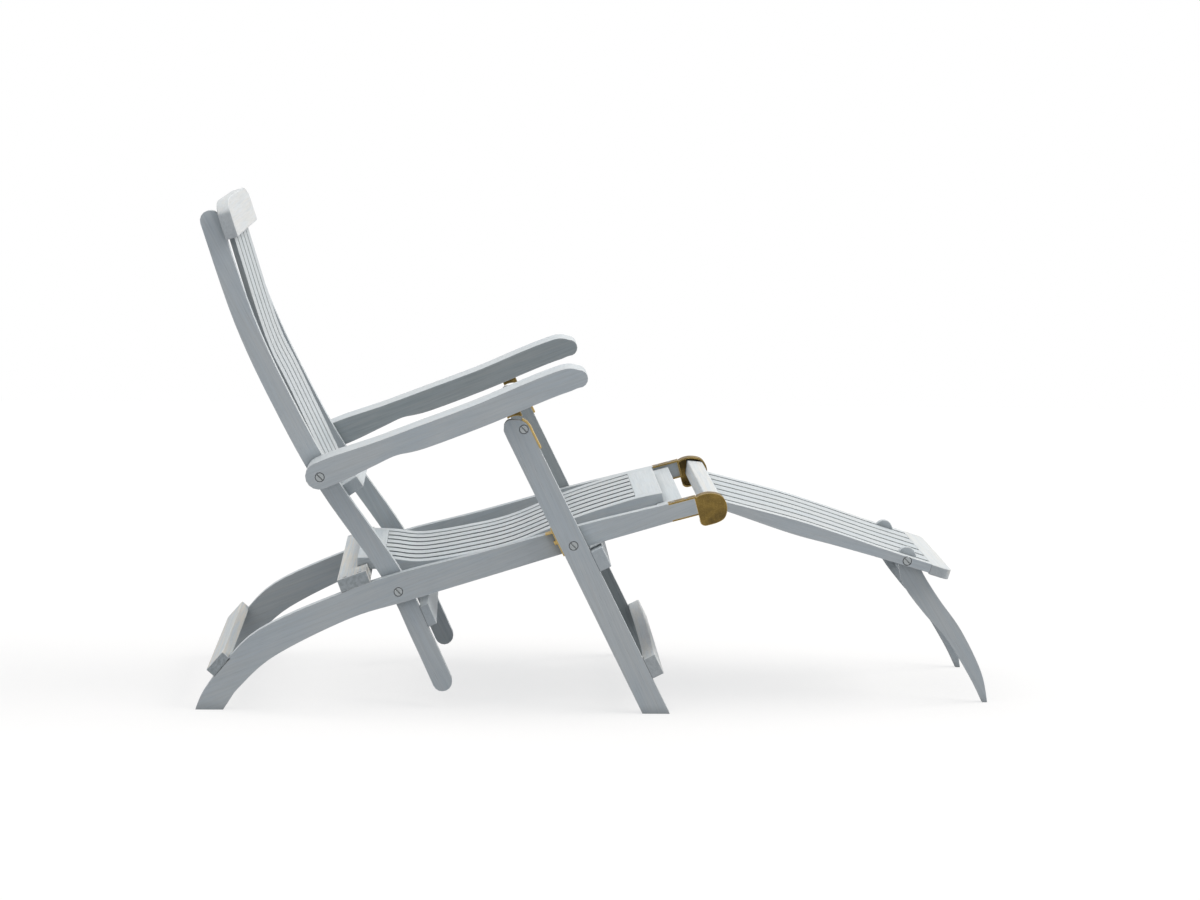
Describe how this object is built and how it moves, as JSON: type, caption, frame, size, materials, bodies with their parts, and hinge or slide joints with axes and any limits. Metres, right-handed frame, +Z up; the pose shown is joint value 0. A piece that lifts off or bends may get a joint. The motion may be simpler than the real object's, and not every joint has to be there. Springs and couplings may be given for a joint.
{
  "type": "steamer deck chair",
  "caption": "Folding slatted steamer deck chair with reclining curved back, pivoting arms, brass hinge castings and a hinged footrest on folding legs.",
  "frame": {"origin": "on the floor, below the middle of the chair's length and width", "axes": "+X towards the footrest, +Y towards the sitter's left, +Z up"},
  "size_m": [1.5096, 0.644, 0.956],
  "materials": {
    "painted_wood": "satin grey paint over grain",
    "brass": "aged brass casting",
    "steel": "bright slotted screws"
  },
  "bodies": {
    "frame": {"side_rail_right": "painted_wood", "side_rail_left": "painted_wood", "rear_foot_bar": "painted_wood", "rear_seat_bar": "painted_wood", "front_cross_member": "painted_wood", "hinge_casting_right": "brass", "hinge_casting_left": "brass", "casting_screws": "steel", "seat_bar_screws": "steel", "seat_side_right": "painted_wood", "seat_side_left": "painted_wood", "seat_slats": "painted_wood", "seat_rear_board": "painted_wood", "seat_front_board": "painted_wood", "back_pivot_bolts": "steel"},
    "back": {"back_upright_right": "painted_wood", "back_upright_left": "painted_wood", "crest_rail": "painted_wood", "lower_back_rail": "painted_wood", "back_slats": "painted_wood", "tail_bar": "painted_wood"},
    "arm_right": {"arm_right": "painted_wood", "arm_saddle_right": "brass", "arm_bolt_right": "steel"},
    "arm_left": {"arm_left": "painted_wood", "arm_saddle_left": "brass", "arm_bolt_left": "steel"},
    "front_legs": {"front_leg_right": "painted_wood", "front_leg_left": "painted_wood", "upper_stretcher": "painted_wood", "lower_stretcher": "painted_wood", "leg_straps": "brass", "leg_top_screws": "steel", "stop_brackets": "brass", "leg_pivot_bolts": "steel"},
    "footrest": {"footrest_hinge_bar": "painted_wood", "footrest_side_right": "painted_wood", "footrest_side_left": "painted_wood", "footrest_slats": "painted_wood", "footrest_end_board": "painted_wood", "footrest_leg_screws": "steel"},
    "footrest_legs": {"footrest_leg_right": "painted_wood", "footrest_leg_left": "painted_wood", "footrest_leg_rung": "painted_wood"}
  },
  "joints": [
    {"name": "back_fold", "type": "hinge", "parent": "frame", "child": "back", "pos_m": [-0.37559, 0, 0.226], "axis": [0, 1, 0], "range_deg": [0, 80]},
    {"name": "arm_right_pivot", "type": "hinge", "parent": "back", "child": "arm_right", "pos_m": [-0.51944, 0, 0.45103], "axis": [0, 1, 0], "range_deg": [-75, 0]},
    {"name": "arm_left_pivot", "type": "hinge", "parent": "back", "child": "arm_left", "pos_m": [-0.51944, 0, 0.45103], "axis": [0, 1, 0], "range_deg": [-75, 0]},
    {"name": "front_leg_fold", "type": "hinge", "parent": "frame", "child": "front_legs", "pos_m": [-0.04959, 0, 0.319], "axis": [0, 1, 0], "range_deg": [0, 85]},
    {"name": "footrest_hinge", "type": "hinge", "parent": "frame", "child": "footrest", "pos_m": [0.20441, 0, 0.387], "axis": [0, 1, 0], "range_deg": [0, 65]},
    {"name": "footrest_leg_fold", "type": "hinge", "parent": "footrest", "child": "footrest_legs", "pos_m": [0.58837, 0, 0.27996], "axis": [0, 1, 0], "range_deg": [0, 110]}
  ],
  "couplings": [
    {"joint": "arm_right_pivot", "follows": "back_fold", "ratio": -0.92},
    {"joint": "arm_left_pivot", "follows": "back_fold", "ratio": -0.92},
    {"joint": "front_leg_fold", "follows": "back_fold", "ratio": 1.05}
  ]
}
